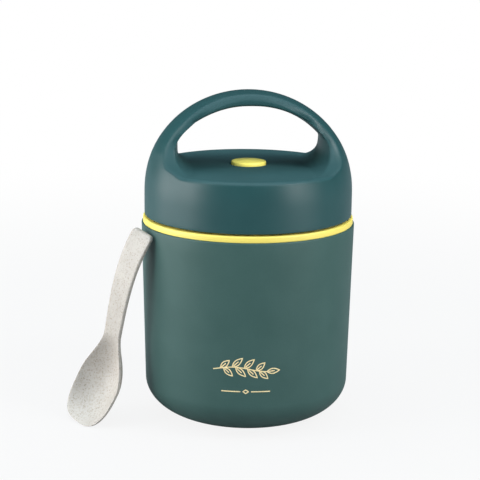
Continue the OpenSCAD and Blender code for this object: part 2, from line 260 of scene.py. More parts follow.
# Print
# A sprig of leaves over a small rule, printed on the front of the body in gold ink. The ink is a thin
# raised line that follows the body's curve.
front_turn = math.radians(-96)
sprig_z, rule_z = 37.0, 26.0
ink_half, ink_top_half, ink_proud, ink_sunk = 0.29, 0.232, 0.05, 0.12
leaf_half, leaf_taper, leaf_steps, leaf_turn = 1.5, 0.35, 12, math.radians(42)
stem_left, stem_right, stem_wave, stem_steps = -16.2, 10.2, 1.1, 30
rule_in, rule_out, rule_steps, diamond_w, diamond_h = 2.6, 12.0, 8, 1.4, 0.9


def on_front(u, v, proud):
    """The place on the body's front, u millimetres right of its middle, at height v."""
    r = mix(base_r, body_r, (v - corner_z) / (body_h - corner_z)) + proud
    a = front_turn + u / body_r
    return Vector((r * math.cos(a), r * math.sin(a), v))


def patch(across_count, down_count, place):
    """A grid of quads, each corner moved to place(row, column)."""
    bpy.ops.object.select_all(action="DESELECT")
    bpy.ops.mesh.primitive_grid_add(x_subdivisions=across_count, y_subdivisions=down_count, size=1)
    grid = bpy.context.object
    for v in grid.data.vertices:
        v.co = place(round((v.co.y + 0.5) * down_count), round((v.co.x + 0.5) * across_count)) * mm
    return grid


def joined(name, pieces, closed=True):
    """Several meshes as one piece, with its seams merged, its ends closed if asked and its faces outwards."""
    bpy.ops.object.select_all(action="DESELECT")
    for piece in pieces:
        piece.select_set(True)
    bpy.context.view_layer.objects.active = pieces[0]
    bpy.ops.object.join()
    whole = new_piece(name)
    bpy.ops.object.mode_set(mode="EDIT")
    bpy.ops.mesh.select_all(action="SELECT")
    bpy.ops.mesh.remove_doubles(threshold=merge_gap)
    if closed:
        bpy.ops.mesh.fill_holes(sides=0)
    close_up()
    return whole


def inked(path):
    """One printed line along a path of (u, v); a path that ends where it starts is drawn as a loop."""
    path = [Vector(p) for p in path]
    last = len(path) - 1
    loop = (path[0] - path[-1]).length < 1e-6
    section = [(-ink_half, -ink_sunk), (-ink_top_half, ink_proud), (ink_top_half, ink_proud),
               (ink_half, -ink_sunk)]

    def place(i, j):
        before = path[(i - 1) % last if loop else max(0, i - 1)]
        after = path[(i + 1) % last if loop else min(last, i + 1)]
        along = (after - before).normalized()
        out, proud = section[j % len(section)]
        p = path[i] + Vector((-along.y, along.x)) * out
        return on_front(p.x, p.y, proud)

    return patch(len(section), last, place)


def leaf(u, v, angle, length):
    """A pointed leaf outline from (u, v), with a vein up its middle."""
    along = Vector((math.cos(angle), math.sin(angle)))
    across_leaf = Vector((-along.y, along.x))

    def edge(t, sign):
        bulge = math.sin(math.pi * t) * (1 - leaf_taper * t) * leaf_half
        return Vector((u, v)) + along * length * t + across_leaf * bulge * sign

    outline = ([edge(k / leaf_steps, 1) for k in range(leaf_steps + 1)]
               + [edge(1 - k / leaf_steps, -1) for k in range(1, leaf_steps + 1)])
    vein = [edge(t, 0) for t in (0.12, 0.3, 0.45, 0.6)]
    return [inked(outline), inked(vein)]


def stem_at(t):
    """The place of the sprig's stem, a shallow wave, at t of the way along it."""
    return mix(stem_left, stem_right, t), sprig_z + stem_wave * math.sin(1.6 * math.pi * t - 0.4)


strokes = [inked([stem_at(k / stem_steps) for k in range(stem_steps + 1)])]
for t, length in ((0.14, 6.0), (0.36, 6.8), (0.58, 6.6), (0.80, 5.8)):
    u, v = stem_at(t)
    strokes += leaf(u, v, leaf_turn, length)
    u, v = stem_at(t + 0.06)
    strokes += leaf(u, v, -leaf_turn, length)
strokes += leaf(*stem_at(1), math.radians(4), 6.4)
for sign in (-1, 1):
    strokes.append(inked([(sign * mix(rule_in, rule_out, k / rule_steps), rule_z) for k in range(rule_steps + 1)]))
diamond = [(0, diamond_h), (diamond_w, 0), (0, -diamond_h), (-diamond_w, 0), (0, diamond_h)]
strokes.append(inked([(mix(a[0], b[0], k / 3), rule_z + mix(a[1], b[1], k / 3))
                      for a, b in zip(diamond, diamond[1:]) for k in range(3)] + [(0, rule_z + diamond_h)]))
sprig = joined("gold_sprig", strokes)
smooth(sprig)

gold, at = finish("gold_ink")
flake = at.noise(0.25, 2)
lay(gold, {
    "Base Color": flake.between(0.35, 0.65).blend((0.72, 0.54, 0.27, 1), (0.90, 0.74, 0.42, 1)),
    "Roughness": 0.34 + 0.14 * flake,
    "Normal": flake.bump(0.02, 0.4),
    "Metallic": 0.25,
})
dress(sprig, gold, "jar", "yellow_plastic")

# Base pad
# A soft black rubber disc pressed into the recess under the body. Two moulded grooves and a dished
# middle help it grip, and its lower edge is rounded.
pad_dish_r, pad_dish_depth, groove_depth, groove_side = 9, 0.5, 0.6, 0.5
grooves = [corner for a, b in ((16.5, 19.1), (24.5, 27.1)) for corner in (
    (a, 0, 0.2), (a + groove_side, groove_depth, 0.3), (b - groove_side, groove_depth, 0.3), (b, 0, 0.2))]
pad = turned("base_pad_rubber", softened([
    (0, pad_dish_depth, 0), (pad_dish_r, pad_dish_depth, 0.6), (pad_dish_r + 1, 0, 0.4), *grooves,
    (pad_r, 0, 0.6), (pad_r, pad_h, 0.2), (0, pad_h, 0)], steps=3), hollow=False)
rubber, at = finish("pad_rubber")
stipple = at.noise(0.5, 2)
dust = at.noise(5, 3).between(0.45, 0.75)
lay(rubber, {
    "Base Color": (dust * 0.8).blend((0.011, 0.011, 0.012, 1), (0.030, 0.029, 0.027, 1)),
    "Roughness": 0.66 + 0.2 * stipple,
    "Normal": stipple.bump(0.08, 0.5),
    "Specular IOR Level": 0.3,
})
dress(pad, rubber, "jar", "dark_rubber", "base_pad")

# Fill plug
# A small white snap-in plug that closes the hole through which the foam was poured. It has a dished
# face on the inside, and the pad covers it.
stopper_r, stopper_dish_r, stopper_dish_z = 5.8, 3.0, 3.1
plug = turned("fill_hole_plug", softened([
    (0, pad_h, 0), (stopper_r, pad_h, 0.3), (stopper_r, shell_floor, 0.5), (stopper_dish_r, shell_floor, 0.4),
    (stopper_dish_r - 0.4, stopper_dish_z, 0.3), (0, stopper_dish_z, 0)]), steps=64, hollow=False)
white, at = finish("white_plastic")
grain = at.noise(0.5, 3)
cloud = at.noise(22, 2)
lay(white, {
    "Base Color": (0.6 * cloud + 0.4 * grain).between(0.35, 0.65).blend(
        (0.76, 0.76, 0.73, 1), (0.82, 0.82, 0.80, 1)),
    "Roughness": 0.36 + 0.12 * grain,
    "Normal": grain.bump(0.03, 0.3),
})
dress(plug, white, "jar", "white_plastic", "fill_plug")

# Body foam
# Stiff cream foam, poured in liquid between the shell and the liner. It takes their shape, and its skin
# is lumpy with open cells.
foam_room, spigot_top_r, spigot_low = 2.2, 47.87, 87.9
cup_r, cup_z, cup_corner, foam_rows = 42.3, 11.8, 12.2, 20


def arc(cx, cz, r, angles):
    return [Vector((cx + r * math.cos(math.radians(a)), cz + r * math.sin(math.radians(a)))) for a in angles]


foam_side = [corner_point(inside_turn * (1 - k / foam_rows), foam_room) for k in range(foam_rows + 1)]
foam_side = [p for p in foam_side if p.y > shell_floor]
foam_top = Vector((mix(base_r, body_r, (spigot_low - corner_z) / (body_h - corner_z)) - foam_room, spigot_low))
foam = turned("poured_foam", [Vector((r, shell_floor)) for r in (0, 4, 8, 12, 16)] + foam_side
              + [foam_side[-1].lerp(foam_top, k / foam_rows) for k in range(1, foam_rows + 1)]
              + [Vector((spigot_top_r, mix(spigot_low, body_h, k / 3))) for k in range(4)]
              + [Vector((45, body_h)), Vector((cup_r, body_h))]
              + [Vector((cup_r, mix(body_h, cup_z + cup_corner, k / foam_rows))) for k in range(1, foam_rows)]
              + arc(cup_r - cup_corner, cup_z + cup_corner, cup_corner, range(0, -91, -15))
              + [Vector((r, cup_z)) for r in (24, 18, 12, 6, 0)], steps=96, hollow=False)
lumps = bpy.data.textures.new("foam_lumps", "CLOUDS")
lumps.noise_scale, lumps.noise_depth = 0.006, 2


def swell(piece, depth):
    """Dents the foam's skin inwards by up to depth millimetres."""
    apply(piece, "DISPLACE", texture=lumps, texture_coords="GLOBAL", strength=depth * mm, mid_level=1.0)
    smooth(piece, 60)


swell(foam, 0.5)
cream_foam, at = finish("cream_foam")
cells = at.node("TexVoronoi", {"Vector": at, "Scale": 1 / (0.7 * mm)}, out="Distance")
cloud = at.noise(8, 3)
lay(cream_foam, {
    "Base Color": (cloud * 0.6 + cells * 0.5).between(0.3, 0.8).blend(
        (0.62, 0.52, 0.30, 1), (0.82, 0.74, 0.50, 1)),
    "Roughness": 0.82 + 0.12 * cells,
    "Normal": cells.bump(0.25, 0.7),
    "Specular IOR Level": 0.2,
})
dress(foam, cream_foam, "jar", "foam", "body_foam")

# Inner liner
# The food cup: drawn and spun from thin stainless sheet, with a wide round corner, and brushed as it
# turned. Its mouth is rolled outwards into a flat lip.
liner_r, liner_in_r, lip_r = 42.1, 41.5, 44.2
liner_z, lip_under, lip_top, liner_corner = 11.8, 114.967, 115.567, 12.0
sheet = liner_r - liner_in_r
floor_mid, side_mid = 16, 60
corner_at = liner_r - liner_corner, liner_z + liner_corner
liner = turned("steel_liner", [Vector((0, liner_z)), Vector((floor_mid, liner_z))]
               + arc(*corner_at, liner_corner, range(-90, 1, 9))
               + softened([(liner_r, side_mid, 0), (liner_r, lip_under, 0.3), (lip_r, lip_under, 0.25),
                           (lip_r, lip_top, 0.25), (liner_in_r, lip_top, 0.7), (liner_in_r, side_mid, 0)])
               + arc(*corner_at, liner_corner - sheet, range(0, -91, -9))
               + [Vector((floor_mid, liner_z + sheet)), Vector((0, liner_z + sheet))], steps=160, hollow=False)
steel, at = finish("brushed_steel")
brush = at.node("TexNoise", {"W": at.from_axis() + at.height(), "Scale": 1 / (0.12 * mm), "Detail": 2.0},
                noise_dimensions="1D")
smear = at.noise(16, 3)
lay(steel, {
    "Base Color": (brush * 0.6 + smear * 0.4).between(0.3, 0.7).blend(
        (0.54, 0.545, 0.55, 1), (0.68, 0.685, 0.69, 1)),
    "Roughness": 0.24 + 0.14 * brush + 0.06 * smear,
    "Normal": brush.bump(0.01, 0.5),
    "Metallic": 1.0,
})
dress(liner, steel, "jar", "steel", "inner_liner")

# Liner seal
# A thin ring of translucent silicone under the liner's lip. It keeps water out of the foam.
neck_top, neck_in_r = 114.167, 42.3
seal = turned("liner_seal_ring", softened([
    (neck_in_r, neck_top, 0.2), (lip_r, neck_top, 0.2), (lip_r, lip_under, 0.2), (neck_in_r, lip_under, 0.2)],
    steps=3))
silicone, at = finish("clear_silicone")
skin = at.noise(1.2, 2)
lay(silicone, {
    "Base Color": skin.between(0.3, 0.7).blend((0.66, 0.67, 0.65, 1), (0.74, 0.75, 0.73, 1)),
    "Roughness": 0.42 + 0.16 * skin,
    "Normal": skin.bump(0.02, 0.3),
    "Subsurface Weight": 0.15,
    "Subsurface Radius": (0.002, 0.002, 0.002),
})
dress(seal, silicone, "jar", "silicone", "liner_seal")

# Neck collar
# One yellow moulding: the ring that shows between body and lid, the threaded neck above it, and a
# spigot below that is glued into the shell. The thread has two starts, and its ends fade out.
neck_r, collar_r, ring_top = 44.7, 51.8, 101.1
spigot_r, spigot_in_r, spigot_z = 50.073, 48.073, 88.1
rib_depth, rib_root, rib_crest, rib_lead, rib_fade = 1.6, 2.2, 1.2, 10.0, 15.0
rib_sunk, rib_step = 0.3, 3
neck_rib_z, neck_rib_turn = 103.633, 300
collar = turned("threaded_collar", softened([
    (spigot_in_r, spigot_z, 0.3), (spigot_r, spigot_z, 0.6), (spigot_r, body_h, 0), (collar_r, body_h, 0.3),
    (collar_r, ring_top, 0.85), (neck_r, ring_top, 0.5), (neck_r, neck_top, 0.6), (neck_in_r, neck_top, 0.4),
    (neck_in_r, body_h, 0.4), (spigot_in_r, body_h, 0.5)]), steps=160)


def ribbed(piece, wall_r, depth, z, start, turn):
    """Adds two thread ribs to a wall: a section swept up round it, with ends that fade into it."""
    sunk, crest = wall_r - rib_sunk * depth, wall_r + depth
    section = softened([(sunk, z - rib_root / 2, 0), (crest, z - rib_crest / 2, 0.35),
                        (crest, z + rib_crest / 2, 0.35), (sunk, z + rib_root / 2, 0)], steps=3)
    rib = drawn("rib", section + section[:1])
    bpy.ops.object.mode_set(mode="OBJECT")
    apply(rib, "SCREW", axis="Z", angle=math.radians(turn), screw_offset=rib_lead * turn / 360 * mm,
          steps=turn // rib_step, render_steps=turn // rib_step)
    rib = joined("rib", [rib])
    for v in rib.data.vertices:
        passed = math.degrees(math.atan2(v.co.y, v.co.x)) % 360
        full = max(0, min(1, passed / rib_fade, (turn - passed) / rib_fade))
        r = math.hypot(v.co.x, v.co.y) / mm
        if (r - wall_r) * depth > 0:
            scale = (wall_r + (r - wall_r) * full) / r
            v.co.x, v.co.y = v.co.x * scale, v.co.y * scale
    rib.data.transform(Matrix.Rotation(math.radians(start), 4, "Z"))
    for _ in range(2):
        apply(piece, "BOOLEAN", operation="UNION", object=rib, solver="EXACT")
        rib.data.transform(Matrix.Rotation(math.pi, 4, "Z"))
    bpy.data.objects.remove(rib)
    smooth(piece)


ribbed(collar, neck_r, rib_depth, neck_rib_z, 0, neck_rib_turn)
yellow, at = finish("yellow_plastic")
grain = at.noise(0.45, 3)
cloud = at.noise(15, 2)
lay(yellow, {
    "Base Color": (0.6 * cloud + 0.4 * grain).between(0.35, 0.65).blend(
        (0.67, 0.540, 0.103, 1), (0.71, 0.575, 0.117, 1)),
    "Roughness": 0.40 + 0.10 * grain,
    "Normal": grain.bump(0.03, 0.3),
    "Specular IOR Level": 0.42,
})
dress(collar, yellow, "jar", "yellow_plastic", "neck_collar")

# Lid gasket
# The silicone ring that closes the jar: it sits under the lid's flange and is pressed on the liner's
# lip. A groove round its outer side leaves two soft lips.
gasket_z, gasket_top, gasket_in_r = 115.867, 118.067, 40.2
gasket_mid, gasket_groove, bevel_w, bevel_h = (gasket_z + gasket_top) / 2, 1.1, 0.5, 0.4
gasket = turned("lid_gasket_ring", softened([
    (gasket_in_r, gasket_z, 0.4), (neck_r - bevel_w, gasket_z, 0.3), (neck_r, gasket_z + bevel_h, 0.25),
    (neck_r - gasket_groove, gasket_mid, 0.3), (neck_r, gasket_top - bevel_h, 0.25),
    (neck_r - bevel_w, gasket_top, 0.3), (gasket_in_r, gasket_top, 0.4)], steps=3))
dress(gasket, silicone, "lid_seal", "silicone", "lid_gasket")

# Lid inner cover
# The white underside of the lid: a skirt with the thread inside, a plug that sits in the jar's mouth,
# and a tube up its middle for the vent. A small bead keeps the gasket on the plug.
skirt_r, skirt_in_r, skirt_z, lid_rib_z, lid_rib_turn = 48.7, 46.7, 102.2, 103.3, 120
flange_z, flange_top = 118.367, 120.367
plug_r, plug_in_r, plug_z, plug_floor = 39.9, 37.9, 105.967, 107.967
bead_r, bead_z, bead_top = 40.7, 114.767, 115.567
tube_r, tube_in_r, tube_top = 4.4, 3.0, 118.967
inner_cover = turned("lid_inner_plug", softened([
    (tube_in_r, plug_z, 0.4), (plug_r, plug_z, 1.2), (plug_r, bead_z, 0), (bead_r, bead_z, 0.3),
    (bead_r, bead_top, 0.3), (plug_r, bead_top, 0), (plug_r, flange_z, 0.4), (skirt_in_r, flange_z, 0.5),
    (skirt_in_r, skirt_z, 0.3), (skirt_r, skirt_z, 0.5), (skirt_r, flange_top, 0.5), (plug_in_r, flange_top, 0.4),
    (plug_in_r, plug_floor, 0.9), (tube_r, plug_floor, 0.7), (tube_r, tube_top, 0.2),
    (tube_in_r, tube_top, 0.2)]), steps=160)
ribbed(inner_cover, skirt_in_r, -rib_depth, lid_rib_z, 60, lid_rib_turn)
dress(inner_cover, white, "lid", "white_plastic", "lid_inner_cover")

# Lid foam
# A cast disc of the same foam between the lid's two covers, with a step at its edge and a hole for the
# vent's tube and well.
lid_foam_low, lid_foam_step, lid_foam_top, well_hole_z = 108.167, 120.567, 123.467, 118.967
tube_hole_r, well_hole_r, foam_plug_r, foam_disc_r, foam_cell = 4.6, 11.4, 37.7, 47.3, 2.5
foam_corners = [(tube_hole_r, lid_foam_low), (foam_plug_r, lid_foam_low), (foam_plug_r, lid_foam_step),
                (foam_disc_r, lid_foam_step), (foam_disc_r, lid_foam_top), (well_hole_r, lid_foam_top),
                (well_hole_r, well_hole_z), (tube_hole_r, well_hole_z)]
foam_path = []
for a, b in zip(foam_corners, foam_corners[1:] + foam_corners[:1]):
    count = max(1, round((Vector(b) - Vector(a)).length / foam_cell))
    foam_path += [Vector(a).lerp(Vector(b), k / count) for k in range(count)]
lid_filling = turned("lid_foam_disc", foam_path, steps=80)
swell(lid_filling, 0.4)
dress(lid_filling, cream_foam, "lid", "foam", "lid_foam")

# Lid cover
# The lid and its carrying handle are one green moulding: a dome whose front and back are scooped away,
# so that the edge of the deck runs on up the legs and over the arch. A round well holds the button.
lid_r, lid_rim, lid_in_r, ledge_r = 51.2, 101.9, 48.9, 47.5
dome_z, dome_h, deck_z, deck_crown = 114.367, 48.3, 125.967, 0.5
deck_r = lid_r * math.sqrt(1 - ((deck_z - dome_z) / dome_h) ** 2)
seat_z, deck_under = 120.567, 123.667
well_r, well_z, boss_r, boss_z, stem_hole_r = 8.9, 121.167, 11.2, 119.167, 1.7
leg_half, waist_half, waist_z, dome_top = 15.25, 11.0, 148.967, 162.667
leg_flare, leg_fillet = 22.0, 8.0
opening_half, opening_corner, opening_arc, arch_z = 35.0, 4.0, 46.5, 109.567
across, rim_columns, deck_rows, wall_rows = 6, 8, 6, 3
edge_room, round_steps = 5.5, 5
edge_round, arch_round, crest_round = 1.3, 2.8, 2.6
foot_round, rim_round, front_round = 4.5, 3.8, 3.4
lip_round, hidden_round = 0.6, 0.35
foot_turn = math.radians(48.55)
leg_rows, arch_steps, corner_rows = 9, 10, 4
crown_fade, grip_depth, grip_rows, fade_rows, blend_rows, outer_share = 14, 2.0, 6, 8, 4, 0.5
fit_rounds = 8


def strap_at(z):
    """Half of the handle's front-to-back width at height z."""
    t = min(1, max(0, (z - waist_z) / (dome_top - waist_z)))
    below = min(leg_flare, max(0, deck_z + leg_flare - z))
    half = mix(leg_half, waist_half, t * t * (3 - 2 * t))
    return half + leg_flare - math.sqrt(leg_flare ** 2 - below ** 2)


def on_dome(tilt, y):
    """The point of the lid's dome at y, tilted up from the right-hand side about the front-to-back axis."""
    shrink = math.sqrt(1 - (y / lid_r) ** 2)
    return Vector((lid_r * math.cos(tilt) * shrink, y, dome_z + dome_h * math.sin(tilt) * shrink))


def tilt_at(z, y):
    """The tilt at which the dome reaches height z at y."""
    return math.asin((z - dome_z) / (dome_h * math.sqrt(1 - (y / lid_r) ** 2)))


def crown(x, y):
    """How far the deck rises above its edge."""
    return deck_crown * (1 - (x * x + y * y) / deck_r ** 2)


def raised(x, y, z):
    """A point of a leg, lifted by the deck's crown where the leg runs into the deck."""
    fade = max(0, 1 - (z - deck_z) / crown_fade)
    return Vector((x, y, z + crown(x, y) * fade * fade))


corner_x = opening_half - opening_corner
corner_rise = math.sqrt((opening_arc - opening_corner) ** 2 - corner_x ** 2)
corner_turn = math.degrees(math.atan2(corner_rise, corner_x))
corner_base = arch_z + corner_rise
leg_top = deck_z + leg_fillet
corner_turns = [corner_turn * k / corner_rows for k in range(1, corner_rows + 1)]
arch_turns = [mix(corner_turn, 90, k / arch_steps) for k in range(1, arch_steps + 1)]
opening = (arc(opening_half - leg_fillet, leg_top, leg_fillet, (-90, -82.5, -75, -60, -45, -30, -15, 0))
           + [(opening_half, mix(leg_top, corner_base, 0.5)), (opening_half, corner_base)]
           + arc(corner_x, corner_base, opening_corner, corner_turns) + arc(0, arch_z, opening_arc, arch_turns))
rows = len(opening) - 1
grip_crown = [grip_depth * min(1, i / grip_rows) * min(1, (rows - i) / arch_steps) for i in range(rows + 1)]


def up_arch(i):
    """0 on the leg, and from 0 at its top to 1 at the top of the arch."""
    return max(0, (i - leg_rows) / (rows - leg_rows))


def grip(i, y):
    """A point of the handle's inner side, which is crowned: it draws back towards its edges."""
    x, z = opening[i]
    before, after = Vector(opening[max(0, i - 1)]), Vector(opening[min(rows, i + 1)])
    along = (after - before).normalized()
    back = grip_crown[i] * (y / strap_at(z)) ** 2
    return raised(x + along.y * back, y, z - along.x * back)


inner_edge = [grip(i, strap_at(z)) for i, (x, z) in enumerate(opening)]
crease_tilts, crease = [], []
for i, (x, z) in enumerate(opening):
    if i == 0:
        y = deck_r * math.sin(foot_turn)
        tilt = tilt_at(deck_z, y)
    elif i <= leg_rows:
        y = strap_at(z)
        tilt = tilt_at(z, y)
    else:
        tilt = mix(crease_tilts[leg_rows], math.pi / 2, up_arch(i))
        for _ in range(fit_rounds):
            y = strap_at(on_dome(tilt, y).z)
    crease_tilts.append(tilt)
    crease.append(on_dome(tilt, y))
deck_tilt = tilt_at(deck_z, 0)
ridge_tilts = [mix(deck_tilt, crease_tilts[leg_rows], i / leg_rows) if i < leg_rows else crease_tilts[i]
               for i in range(rows + 1)]


def well_turn(column):
    """The angle at which a column of the deck meets the button's well."""
    return math.pi / 2 * column / (across + rim_columns)


def on_deck(x, y):
    return Vector((x, y, deck_z + crown(x, y)))


def deck_ring(j):
    """A point of the deck in front of the leg's foot, on the last ring inside its edge."""
    corner = inner_edge[0]
    turn = mix(math.atan2(corner.y, corner.x), math.pi / 2, j / rim_columns)
    ring_r = math.hypot(corner.x, corner.y)
    return on_deck(ring_r * math.cos(turn), ring_r * math.sin(turn))


def deck_edge(j):
    turn = mix(foot_turn, math.pi / 2, j / rim_columns)
    return Vector((deck_r * math.cos(turn), deck_r * math.sin(turn), deck_z))


def rounded(before, corner, after, t):
    """A point of the arc that rounds a corner."""
    return before.lerp(corner, t).lerp(corner.lerp(after, t), t)


# One edge runs from the top of the arch down the leg and on round the deck; each point of it is rounded
# between the outer skin and the face inside it.
edge_line = crease[:0:-1] + [deck_edge(j) for j in range(rim_columns + 1)]
edge_inner = inner_edge[:0:-1] + [deck_ring(j) for j in range(rim_columns + 1)]
edge_rounds = ([mix(mix(rim_round, foot_round, min(1, i / blend_rows)), crest_round, up_arch(i))
                for i in range(rows, 0, -1)]
               + [mix(rim_round, front_round, min(1, j / blend_rows)) for j in range(rim_columns + 1)])
edge_outside, edge_inside = [], []
for k, corner in enumerate(edge_line):
    ahead = edge_line[k + 1] if k + 1 < len(edge_line) else edge_line[k - 1] * Vector((-1, 1, 1))
    behind = edge_line[k - 1] if k else edge_line[1] * Vector((-1, 1, 1))
    along = (ahead - behind).normalized()
    up = Vector((corner.x / lid_r ** 2, corner.y / lid_r ** 2, (corner.z - dome_z) / dome_h ** 2)).normalized()
    over = edge_rounds[k] * mix(1, outer_share, min(1, k / (rows - leg_rows)))
    spot = corner + along.cross(up) * over - Vector((0, 0, dome_z))
    onto = math.sqrt((spot.x ** 2 + spot.y ** 2) / lid_r ** 2 + (spot.z / dome_h) ** 2)
    edge_outside.append(spot / onto + Vector((0, 0, dome_z)))
    inner = edge_inner[k] - corner
    inner -= along * inner.dot(along)
    edge_inside.append(corner + inner.normalized() * edge_rounds[k])


# The functions from here to underside() lay out a quarter of the lid in patches, by row and column.
def edge_strip(k, j):
    return rounded(edge_outside[k], edge_line[k], edge_inside[k], j / round_steps)


def inward(half, j):
    """How far column j lies from the edge to the middle; the first one leaves room for the edge's rounding."""
    first = max(1 / across, min(edge_room / half, 0.5))
    return mix(first, 1, (j - 1) / (across - 1))


def outer_band(i, j):
    if j == 0:
        return edge_outside[rows - i]
    y = crease[i].y
    t = inward(y, j)
    if i == 0:
        y *= 1 - t
        return Vector((math.sqrt(deck_r ** 2 - y * y), y, deck_z))
    return on_dome(mix(crease_tilts[i], ridge_tilts[i], t), y * (1 - t))


def grip_strip(i, j):
    """The rounding of the handle's inner edge, which fades out where the leg runs into the deck."""
    setback = mix(edge_round * min(1, i / fade_rows), arch_round, up_arch(i))
    face = inner_edge[i] + (crease[i] - inner_edge[i]).normalized() * setback
    return rounded(face, inner_edge[i], grip(i, strap_at(opening[i][1]) - setback), j / round_steps)


def side_face(i, j):
    return edge_inside[rows - i] if j == 0 else grip_strip(i, 0)


def tunnel(i, j):
    if j == 0:
        return grip_strip(i, round_steps)
    y = strap_at(opening[i][1])
    return grip(i, y * (1 - inward(y, j)))


def deck_under_arch(i, j):
    a = well_turn(j)
    foot = tunnel(0, across - j)
    t = i / deck_rows
    return on_deck(mix(well_r * math.cos(a), foot.x, t), mix(well_r * math.sin(a), foot.y, t))


def deck_front(i, j):
    if i > deck_rows:
        return edge_inside[rows + j]
    a = well_turn(across + j)
    ring = deck_ring(j)
    t = i / deck_rows
    return on_deck(mix(well_r * math.cos(a), ring.x, t), mix(well_r * math.sin(a), ring.y, t))


columns = across + rim_columns
top_ring = [outer_band(0, across - j) for j in range(across)] + edge_outside[rows:]
wall_turns = [math.atan2(p.y, p.x) for p in top_ring]


def wall(i, j):
    if i == 0:
        return top_ring[j]
    if i <= wall_rows:
        tilt = deck_tilt * (1 - i / wall_rows)
        r, z = lid_r * math.cos(tilt), dome_z + dome_h * math.sin(tilt)
    else:
        r, z = lid_r, mix(dome_z, lid_rim, (i - wall_rows) / wall_rows)
    return Vector((r * math.cos(wall_turns[j]), r * math.sin(wall_turns[j]), z))


# Rings in the middle of a flat part are not rounded.
skirt_mid, boss_mid, well_mid = ((lid_in_r, mix(lid_rim, seat_z, 0.5)), (mix(boss_r, stem_hole_r, 0.5), boss_z),
                                 (mix(stem_hole_r, well_r, 0.5), well_z))
under_mids = [(mix(ledge_r, boss_r, k / 4), deck_under) for k in (1, 2, 3)]
under_rings = [(lid_r, lid_rim), (lid_in_r, lid_rim), skirt_mid, (lid_in_r, seat_z), (ledge_r, seat_z),
               (ledge_r, deck_under), *under_mids, (boss_r, deck_under), (boss_r, boss_z), boss_mid,
               (stem_hole_r, boss_z), (stem_hole_r, well_z), well_mid, (well_r, well_z)]


def underside(i, j):
    if i == len(under_rings):
        return deck_under_arch(0, j) if j <= across else deck_front(0, j - across)
    r, z = under_rings[i]
    turn = mix(well_turn(j), wall_turns[j], max(0, (r - boss_r) / (ledge_r - boss_r)) if r < ledge_r else 1)
    return Vector((r * math.cos(turn), r * math.sin(turn), z))


lid = joined("lid_with_handle", [
    patch(across, rows, outer_band), patch(round_steps, len(edge_line) - 1, edge_strip),
    patch(1, rows, side_face), patch(round_steps, rows, grip_strip), patch(across, rows, tunnel),
    patch(across, deck_rows, deck_under_arch), patch(rim_columns, deck_rows + 1, deck_front),
    patch(columns, 2 * wall_rows, wall), patch(columns, len(under_rings), underside)], closed=False)
apply(lid, "MIRROR", use_axis=(True, True, False), use_clip=True, merge_threshold=1e-6)
bpy.ops.object.mode_set(mode="EDIT")
close_up()

ring_rounds = {(round(r, 3), round(z, 3)): hidden_round for r, z in under_rings
               if (r, z) not in (skirt_mid, boss_mid, well_mid, *under_mids)}
ring_rounds[(lid_r, lid_rim)] = ring_rounds[(lid_in_r, lid_rim)] = lip_round
well_top = deck_z + crown(well_r, 0)
ring_rounds[(well_r, round(well_top, 3))] = lip_round
weights = lid.data.attributes.new("bevel_weight_edge", "FLOAT", "EDGE")
for edge in lid.data.edges:
    ends = [lid.data.vertices[v].co / mm for v in edge.vertices]
    places = [(round(math.hypot(p.x, p.y), 3), round(p.z, 3)) for p in ends]
    if places[0] == places[1] and places[0] in ring_rounds:
        weights.data[edge.index].value = ring_rounds[places[0]] / lip_round
apply(lid, "BEVEL", limit_method="WEIGHT", width=lip_round * mm, segments=3, use_clamp_overlap=False)
apply(lid, "SUBSURF", levels=2, render_levels=2)
smooth(lid, 60)

lid_green = (0.0122, 0.0500, 0.0522, 1)
lid_green_light = (0.0148, 0.0560, 0.0582, 1)
moulded, at = finish("lid_plastic")
grain = at.noise(0.4, 3)
cloud = at.noise(18, 2)
on_top = (1 - at.from_axis().between(0.0470, 0.0490)) * (1 - at.height().between(0.128, 0.136))
lay(moulded, {
    "Base Color": (0.6 * cloud + 0.4 * grain).between(0.35, 0.65).blend(lid_green, lid_green_light),
    "Roughness": 0.35 + 0.10 * grain + 0.38 * on_top,
    "Normal": grain.bump(0.02, 0.25),
    "Specular IOR Level": 0.26,
})
dress(lid, moulded, "lid", "lid_green", "lid_cover")

# Vent spring
# A small coil of stainless wire. It stands in the lid's well and pushes the button up, and it is squeezed
# when the button is pressed.
spring_r, spring_wire, spring_turns, spring_low, spring_high = 5.05, 0.6, 3, 121.667, 125.867
wire_sides, turn_steps = 14, 48
ring = arc(spring_r, spring_low, spring_wire / 2, [360 * k / wire_sides for k in range(wire_sides)])
spring = drawn("vent_spring_wire", ring + ring[:1])
bpy.ops.object.mode_set(mode="OBJECT")
apply(spring, "SCREW", axis="Z", angle=2 * math.pi, iterations=spring_turns,
      steps=turn_steps, render_steps=turn_steps,
      screw_offset=(spring_high - spring_low) / spring_turns * mm)
spring = joined("vent_spring_wire", [spring])
smooth(spring, 50)
wire, at = finish("spring_wire")
drawn_lines = at.noise(0.3, 2)
lay(wire, {
    "Base Color": drawn_lines.between(0.3, 0.7).blend((0.56, 0.565, 0.57, 1), (0.68, 0.685, 0.69, 1)),
    "Roughness": 0.20 + 0.12 * drawn_lines,
    "Metallic": 1.0,
})
dress(spring, wire, "lid", "steel", "vent_spring")
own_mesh(spring)

